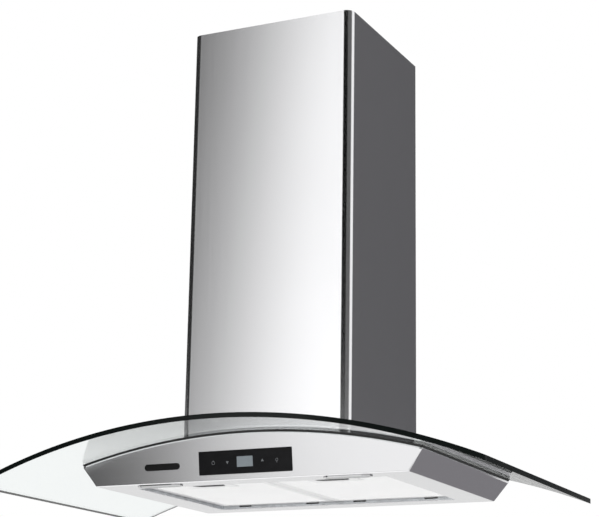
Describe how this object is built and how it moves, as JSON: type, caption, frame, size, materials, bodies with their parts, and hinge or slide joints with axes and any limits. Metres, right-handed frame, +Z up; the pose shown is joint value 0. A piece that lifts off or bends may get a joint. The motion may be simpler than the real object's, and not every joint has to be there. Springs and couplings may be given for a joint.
{
  "type": "island range hood",
  "caption": "Ceiling-hung cooker hood with a curved glass canopy, a steel body, a telescoping chimney, tilting grease filters and a touch control.",
  "frame": {"origin": "centre of the four ceiling bolt holes, on the plate's face that meets the ceiling", "axes": "+X to the right along the glass, +Y to the back, +Z up into the ceiling"},
  "size_m": [0.9, 0.56, 0.827],
  "materials": {
    "brushed_stainless": "brushed, long fine grain",
    "galvanised": "hot-dip galvanised sheet",
    "zinc": "zinc plated",
    "rubber": "matt",
    "clear_glass": "toughened, polished edge",
    "nylon": "natural",
    "dark_plastic": "fine moulded",
    "white_plastic": "fine moulded",
    "motor_metal": "drawn and plated",
    "board": "solder-resist",
    "lamp_board": "white solder-resist",
    "black_glass": "back-painted, gloss",
    "display": "liquid crystal",
    "badge_black": "gloss",
    "chrome_trim": "polished",
    "frosted": "frosted diffuser",
    "filter_aluminium": "satin",
    "latch_steel": "satin"
  },
  "bodies": {
    "ceiling": {"ceiling_plate": "galvanised", "upper_uprights": "galvanised", "frame_straps": "galvanised", "upper_chimney_front": "brushed_stainless", "upper_chimney_rear": "brushed_stainless", "upper_cover_screws": "zinc"},
    "hood": {"lower_chimney_front": "brushed_stainless", "lower_chimney_rear": "brushed_stainless", "lower_cover_screws": "zinc", "lower_uprights": "galvanised", "upright_bolts": "zinc", "support_ring": "galvanised", "upper_pad": "rubber", "glass_canopy": "clear_glass", "glass_bushes": "nylon", "lower_pad": "rubber", "glass_clamp_bolts": "zinc", "glass_gasket": "rubber", "top_skin": "galvanised", "canopy_shell": "brushed_stainless", "filter_surround": "galvanised", "blower_box": "galvanised", "volute_left": "dark_plastic", "volute_right": "dark_plastic", "motor_can": "motor_metal", "motor_end_cap": "motor_metal", "motor_bracket": "galvanised", "motor_bushes": "rubber", "capacitor": "white_plastic", "outlet_collar": "dark_plastic", "damper_pins": "zinc", "power_box": "white_plastic", "power_box_lid": "white_plastic", "power_board": "board", "terminal_block": "nylon", "cord_gland": "dark_plastic", "wire_harness": "rubber", "touch_glass": "black_glass", "touch_holder": "dark_plastic", "touch_board": "board", "display_module": "display", "badge": "badge_black", "lamp_bezels": "chrome_trim", "lamp_lenses": "frosted", "lamp_boards": "lamp_board"},
    "fan": {"fan_wheel": "nylon", "motor_shaft": "zinc"},
    "damper_front": {"damper_flap_front": "nylon"},
    "damper_rear": {"damper_flap_rear": "nylon"},
    "filter_left": {"left_filter_frame": "filter_aluminium", "left_filter_mesh": "filter_aluminium", "left_filter_core": "filter_aluminium", "left_latch_cup": "dark_plastic"},
    "latch_left": {"left_latch": "latch_steel"},
    "filter_right": {"right_filter_frame": "filter_aluminium", "right_filter_mesh": "filter_aluminium", "right_filter_core": "filter_aluminium", "right_latch_cup": "dark_plastic"},
    "latch_right": {"right_latch": "latch_steel"}
  },
  "joints": [
    {"name": "height_slide", "type": "slide", "parent": "ceiling", "child": "hood", "axis": [0, 0, -1], "range_m": [0, 0.3]},
    {"name": "fan_spin", "type": "hinge", "parent": "hood", "child": "fan", "pos_m": [0, 0.035, -0.626], "axis": [1, 0, 0], "continuous": true},
    {"name": "damper_front_lift", "type": "hinge", "parent": "hood", "child": "damper_front", "pos_m": [0, -0.004, -0.444], "axis": [-1, 0, 0], "range_deg": [0, 80]},
    {"name": "damper_rear_lift", "type": "hinge", "parent": "hood", "child": "damper_rear", "pos_m": [0, 0.004, -0.444], "axis": [1, 0, 0], "range_deg": [0, 80]},
    {"name": "left_filter_tilt", "type": "hinge", "parent": "hood", "child": "filter_left", "pos_m": [-0.115, 0.1431, -0.81325], "axis": [1, 0, 0], "range_deg": [0, 55]},
    {"name": "left_latch_slide", "type": "slide", "parent": "filter_left", "child": "latch_left", "axis": [0, 1, 0], "range_m": [0, 0.008], "stiffness_N_per_m": 300},
    {"name": "right_filter_tilt", "type": "hinge", "parent": "hood", "child": "filter_right", "pos_m": [0.115, 0.1431, -0.81325], "axis": [1, 0, 0], "range_deg": [0, 55]},
    {"name": "right_latch_slide", "type": "slide", "parent": "filter_right", "child": "latch_right", "axis": [0, 1, 0], "range_m": [0, 0.008], "stiffness_N_per_m": 300}
  ]
}
